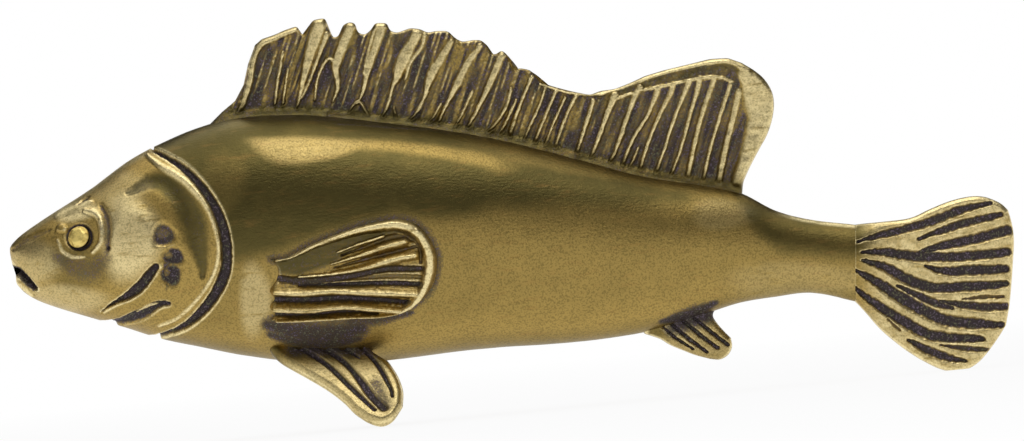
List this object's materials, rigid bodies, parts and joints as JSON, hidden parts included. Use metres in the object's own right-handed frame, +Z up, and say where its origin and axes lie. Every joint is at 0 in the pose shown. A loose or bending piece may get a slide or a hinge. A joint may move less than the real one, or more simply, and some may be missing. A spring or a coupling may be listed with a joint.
{
  "type": "fish figurine",
  "caption": "Cast brass fish ornament with a spined dorsal fin and rayed fins, closed on a middle seam, standing nose up on its pelvic fins and tail.",
  "frame": {"origin": "middle of the outline seen from above, on the ground that the fins stand on", "axes": "+X towards the tail, +Y to the fish's right, +Z up; the body's own axis is 5.6 degrees nose up"},
  "size_m": [0.1273, 0.0228, 0.0523],
  "materials": {
    "antique_brass": "cast, darkened and relieved, satin",
    "polished_brass": "burnished",
    "drawn_brass": "drawn"
  },
  "bodies": {
    "root": {"left_half": "antique_brass", "right_half": "antique_brass", "register_dowels": "drawn_brass", "dorsal_fin": "antique_brass", "tail_fin": "antique_brass", "anal_fin": "antique_brass", "left_pectoral_fin": "antique_brass", "right_pectoral_fin": "antique_brass", "left_pelvic_fin": "antique_brass", "right_pelvic_fin": "antique_brass", "left_eye": "polished_brass", "right_eye": "polished_brass"}
  },
  "joints": []
}
